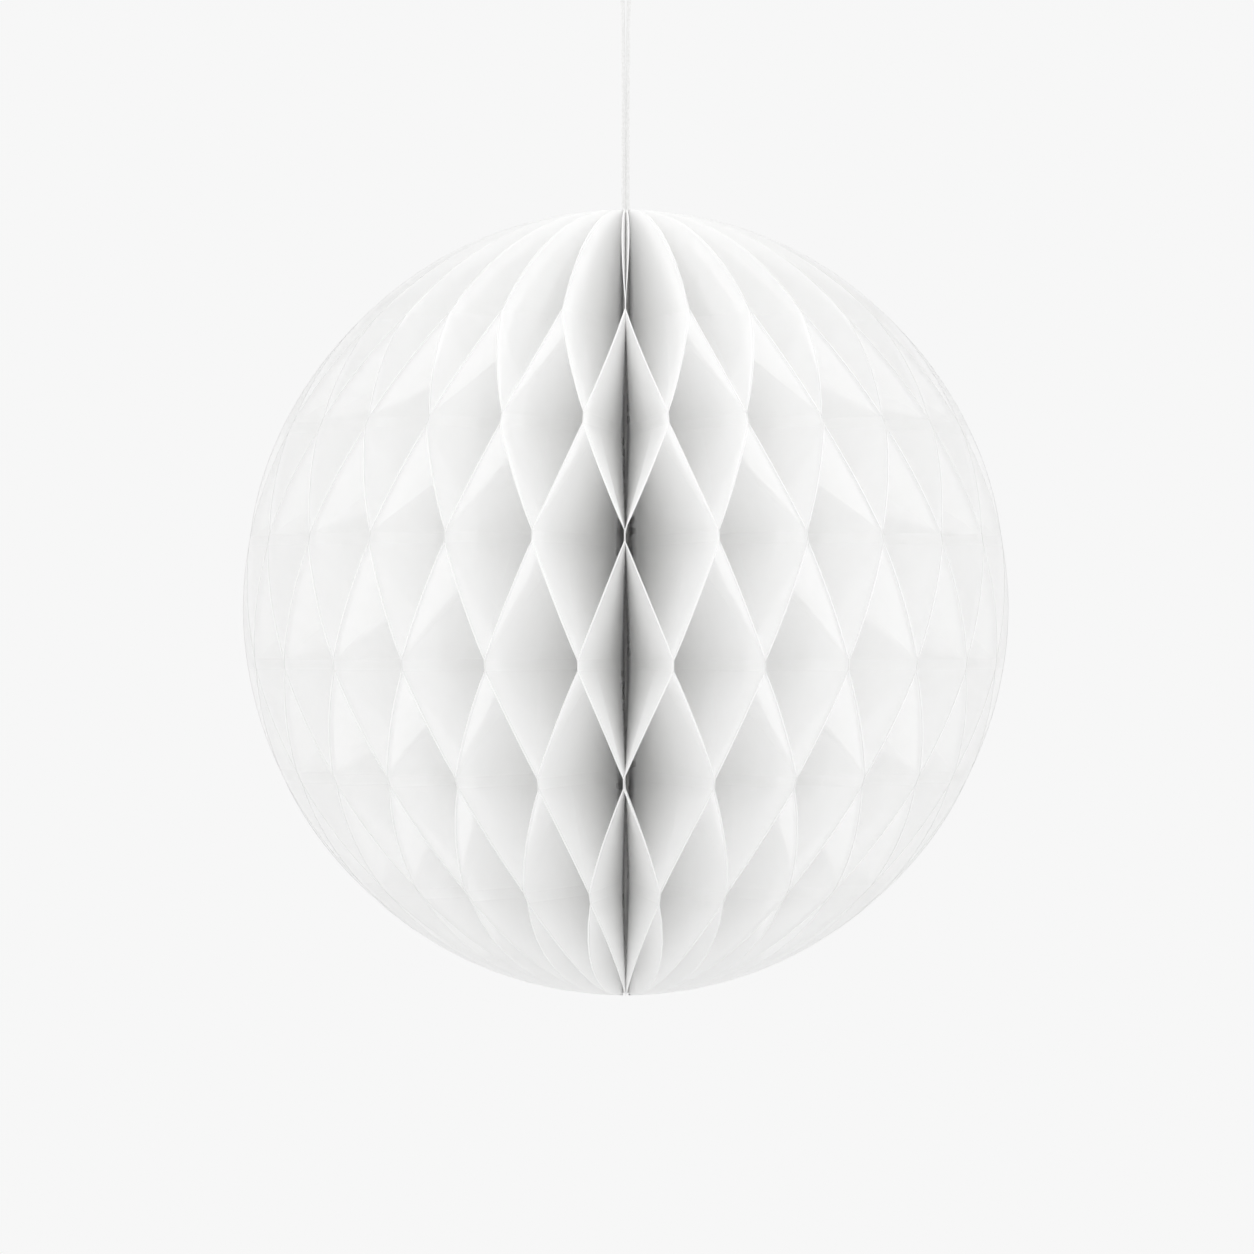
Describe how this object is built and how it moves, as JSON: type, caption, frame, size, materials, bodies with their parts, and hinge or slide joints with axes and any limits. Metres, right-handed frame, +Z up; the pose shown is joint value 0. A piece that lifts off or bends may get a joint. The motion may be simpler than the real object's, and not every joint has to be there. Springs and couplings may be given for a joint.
{
  "type": "honeycomb paper lantern",
  "caption": "Round white honeycomb paper lantern that hangs from a doubled cotton cord and folds flat like a fan between two card covers.",
  "frame": {"origin": "where the hook bears on the inside of the hanging loop, on the lantern's upright axis", "axes": "+Z up along the lantern's axis, -Y towards the front, +Y towards the closing seam, +X to the right seen from the front"},
  "size_m": [0.3, 0.2996, 0.4065],
  "materials": {
    "paper": "matte",
    "card": "matte",
    "cord": "matte",
    "binding": "matte",
    "pads": "matte"
  },
  "bodies": {
    "hanger": {"hanger_cord": "cord", "hanger_knot": "cord"},
    "core": {"spine_binding": "binding", "cover_a": "card", "closure_pads": "pads"},
    "sector_01": {"leaf_01": "paper", "leaf_02": "paper"},
    "sector_02": {"leaf_03": "paper", "leaf_04": "paper"},
    "sector_03": {"leaf_05": "paper", "leaf_06": "paper"},
    "sector_04": {"leaf_07": "paper", "leaf_08": "paper"},
    "sector_05": {"leaf_09": "paper", "leaf_10": "paper"},
    "sector_06": {"leaf_11": "paper", "leaf_12": "paper"},
    "sector_07": {"leaf_13": "paper", "leaf_14": "paper"},
    "sector_08": {"leaf_15": "paper", "leaf_16": "paper"},
    "sector_09": {"leaf_17": "paper", "leaf_18": "paper"},
    "sector_10": {"leaf_19": "paper", "leaf_20": "paper"},
    "sector_11": {"leaf_21": "paper", "leaf_22": "paper"},
    "sector_12": {"leaf_23": "paper", "leaf_24": "paper"},
    "sector_13": {"leaf_25": "paper", "leaf_26": "paper"},
    "sector_14": {"leaf_27": "paper", "leaf_28": "paper"},
    "sector_15": {"leaf_29": "paper", "leaf_30": "paper"},
    "sector_16": {"leaf_31": "paper", "leaf_32": "paper"},
    "sector_17": {"leaf_33": "paper", "leaf_34": "paper"},
    "sector_18": {"leaf_35": "paper", "leaf_36": "paper"},
    "sector_19": {"leaf_37": "paper", "leaf_38": "paper"},
    "sector_20": {"leaf_39": "paper", "leaf_40": "paper"},
    "sector_21": {"leaf_41": "paper", "leaf_42": "paper"},
    "sector_22": {"leaf_43": "paper", "leaf_44": "paper"},
    "sector_23": {"leaf_45": "paper", "leaf_46": "paper"},
    "sector_24": {"leaf_47": "paper", "leaf_48": "paper"},
    "sector_25": {"leaf_49": "paper", "leaf_50": "paper"},
    "sector_26": {"leaf_51": "paper", "leaf_52": "paper"},
    "sector_27": {"leaf_53": "paper", "leaf_54": "paper"},
    "cover_side": {"cover_b": "card"}
  },
  "joints": [
    {"name": "spin", "type": "hinge", "parent": "hanger", "child": "core", "pos_m": [0, 0, -0.251], "axis": [0, 0, 1], "continuous": true},
    {"name": "fold_01", "type": "hinge", "parent": "core", "child": "sector_01", "pos_m": [0, 0, -0.251], "axis": [0, 0, 1], "range_deg": [-6.42, 0], "deforming": ["leaf_01", "leaf_02"]},
    {"name": "fold_02", "type": "hinge", "parent": "sector_01", "child": "sector_02", "pos_m": [0, 0, -0.251], "axis": [0, 0, 1], "range_deg": [-12.83, 0], "deforming": ["leaf_03", "leaf_04"]},
    {"name": "fold_03", "type": "hinge", "parent": "sector_02", "child": "sector_03", "pos_m": [0, 0, -0.251], "axis": [0, 0, 1], "range_deg": [-12.83, 0], "deforming": ["leaf_05", "leaf_06"]},
    {"name": "fold_04", "type": "hinge", "parent": "sector_03", "child": "sector_04", "pos_m": [0, 0, -0.251], "axis": [0, 0, 1], "range_deg": [-12.83, 0], "deforming": ["leaf_07", "leaf_08"]},
    {"name": "fold_05", "type": "hinge", "parent": "sector_04", "child": "sector_05", "pos_m": [0, 0, -0.251], "axis": [0, 0, 1], "range_deg": [-12.83, 0], "deforming": ["leaf_09", "leaf_10"]},
    {"name": "fold_06", "type": "hinge", "parent": "sector_05", "child": "sector_06", "pos_m": [0, 0, -0.251], "axis": [0, 0, 1], "range_deg": [-12.83, 0], "deforming": ["leaf_11", "leaf_12"]},
    {"name": "fold_07", "type": "hinge", "parent": "sector_06", "child": "sector_07", "pos_m": [0, 0, -0.251], "axis": [0, 0, 1], "range_deg": [-12.83, 0], "deforming": ["leaf_13", "leaf_14"]},
    {"name": "fold_08", "type": "hinge", "parent": "sector_07", "child": "sector_08", "pos_m": [0, 0, -0.251], "axis": [0, 0, 1], "range_deg": [-12.83, 0], "deforming": ["leaf_15", "leaf_16"]},
    {"name": "fold_09", "type": "hinge", "parent": "sector_08", "child": "sector_09", "pos_m": [0, 0, -0.251], "axis": [0, 0, 1], "range_deg": [-12.83, 0], "deforming": ["leaf_17", "leaf_18"]},
    {"name": "fold_10", "type": "hinge", "parent": "sector_09", "child": "sector_10", "pos_m": [0, 0, -0.251], "axis": [0, 0, 1], "range_deg": [-12.83, 0], "deforming": ["leaf_19", "leaf_20"]},
    {"name": "fold_11", "type": "hinge", "parent": "sector_10", "child": "sector_11", "pos_m": [0, 0, -0.251], "axis": [0, 0, 1], "range_deg": [-12.83, 0], "deforming": ["leaf_21", "leaf_22"]},
    {"name": "fold_12", "type": "hinge", "parent": "sector_11", "child": "sector_12", "pos_m": [0, 0, -0.251], "axis": [0, 0, 1], "range_deg": [-12.83, 0], "deforming": ["leaf_23", "leaf_24"]},
    {"name": "fold_13", "type": "hinge", "parent": "sector_12", "child": "sector_13", "pos_m": [0, 0, -0.251], "axis": [0, 0, 1], "range_deg": [-12.83, 0], "deforming": ["leaf_25", "leaf_26"]},
    {"name": "fold_14", "type": "hinge", "parent": "sector_13", "child": "sector_14", "pos_m": [0, 0, -0.251], "axis": [0, 0, 1], "range_deg": [-12.83, 0], "deforming": ["leaf_27", "leaf_28"]},
    {"name": "fold_15", "type": "hinge", "parent": "sector_14", "child": "sector_15", "pos_m": [0, 0, -0.251], "axis": [0, 0, 1], "range_deg": [-12.83, 0], "deforming": ["leaf_29", "leaf_30"]},
    {"name": "fold_16", "type": "hinge", "parent": "sector_15", "child": "sector_16", "pos_m": [0, 0, -0.251], "axis": [0, 0, 1], "range_deg": [-12.83, 0], "deforming": ["leaf_31", "leaf_32"]},
    {"name": "fold_17", "type": "hinge", "parent": "sector_16", "child": "sector_17", "pos_m": [0, 0, -0.251], "axis": [0, 0, 1], "range_deg": [-12.83, 0], "deforming": ["leaf_33", "leaf_34"]},
    {"name": "fold_18", "type": "hinge", "parent": "sector_17", "child": "sector_18", "pos_m": [0, 0, -0.251], "axis": [0, 0, 1], "range_deg": [-12.83, 0], "deforming": ["leaf_35", "leaf_36"]},
    {"name": "fold_19", "type": "hinge", "parent": "sector_18", "child": "sector_19", "pos_m": [0, 0, -0.251], "axis": [0, 0, 1], "range_deg": [-12.83, 0], "deforming": ["leaf_37", "leaf_38"]},
    {"name": "fold_20", "type": "hinge", "parent": "sector_19", "child": "sector_20", "pos_m": [0, 0, -0.251], "axis": [0, 0, 1], "range_deg": [-12.83, 0], "deforming": ["leaf_39", "leaf_40"]},
    {"name": "fold_21", "type": "hinge", "parent": "sector_20", "child": "sector_21", "pos_m": [0, 0, -0.251], "axis": [0, 0, 1], "range_deg": [-12.83, 0], "deforming": ["leaf_41", "leaf_42"]},
    {"name": "fold_22", "type": "hinge", "parent": "sector_21", "child": "sector_22", "pos_m": [0, 0, -0.251], "axis": [0, 0, 1], "range_deg": [-12.83, 0], "deforming": ["leaf_43", "leaf_44"]},
    {"name": "fold_23", "type": "hinge", "parent": "sector_22", "child": "sector_23", "pos_m": [0, 0, -0.251], "axis": [0, 0, 1], "range_deg": [-12.83, 0], "deforming": ["leaf_45", "leaf_46"]},
    {"name": "fold_24", "type": "hinge", "parent": "sector_23", "child": "sector_24", "pos_m": [0, 0, -0.251], "axis": [0, 0, 1], "range_deg": [-12.83, 0], "deforming": ["leaf_47", "leaf_48"]},
    {"name": "fold_25", "type": "hinge", "parent": "sector_24", "child": "sector_25", "pos_m": [0, 0, -0.251], "axis": [0, 0, 1], "range_deg": [-12.83, 0], "deforming": ["leaf_49", "leaf_50"]},
    {"name": "fold_26", "type": "hinge", "parent": "sector_25", "child": "sector_26", "pos_m": [0, 0, -0.251], "axis": [0, 0, 1], "range_deg": [-12.83, 0], "deforming": ["leaf_51", "leaf_52"]},
    {"name": "fold_27", "type": "hinge", "parent": "sector_26", "child": "sector_27", "pos_m": [0, 0, -0.251], "axis": [0, 0, 1], "range_deg": [-12.83, 0], "deforming": ["leaf_53", "leaf_54"]},
    {"name": "fold_cover", "type": "hinge", "parent": "sector_27", "child": "cover_side", "pos_m": [0, 0, -0.251], "axis": [0, 0, 1], "range_deg": [-6.42, 0]}
  ],
  "couplings": [
    {"joint": "fold_02", "follows": "fold_01", "ratio": 2},
    {"joint": "fold_03", "follows": "fold_01", "ratio": 2},
    {"joint": "fold_04", "follows": "fold_01", "ratio": 2},
    {"joint": "fold_05", "follows": "fold_01", "ratio": 2},
    {"joint": "fold_06", "follows": "fold_01", "ratio": 2},
    {"joint": "fold_07", "follows": "fold_01", "ratio": 2},
    {"joint": "fold_08", "follows": "fold_01", "ratio": 2},
    {"joint": "fold_09", "follows": "fold_01", "ratio": 2},
    {"joint": "fold_10", "follows": "fold_01", "ratio": 2},
    {"joint": "fold_11", "follows": "fold_01", "ratio": 2},
    {"joint": "fold_12", "follows": "fold_01", "ratio": 2},
    {"joint": "fold_13", "follows": "fold_01", "ratio": 2},
    {"joint": "fold_14", "follows": "fold_01", "ratio": 2},
    {"joint": "fold_15", "follows": "fold_01", "ratio": 2},
    {"joint": "fold_16", "follows": "fold_01", "ratio": 2},
    {"joint": "fold_17", "follows": "fold_01", "ratio": 2},
    {"joint": "fold_18", "follows": "fold_01", "ratio": 2},
    {"joint": "fold_19", "follows": "fold_01", "ratio": 2},
    {"joint": "fold_20", "follows": "fold_01", "ratio": 2},
    {"joint": "fold_21", "follows": "fold_01", "ratio": 2},
    {"joint": "fold_22", "follows": "fold_01", "ratio": 2},
    {"joint": "fold_23", "follows": "fold_01", "ratio": 2},
    {"joint": "fold_24", "follows": "fold_01", "ratio": 2},
    {"joint": "fold_25", "follows": "fold_01", "ratio": 2},
    {"joint": "fold_26", "follows": "fold_01", "ratio": 2},
    {"joint": "fold_27", "follows": "fold_01", "ratio": 2},
    {"joint": "fold_cover", "follows": "fold_01", "ratio": 1}
  ]
}
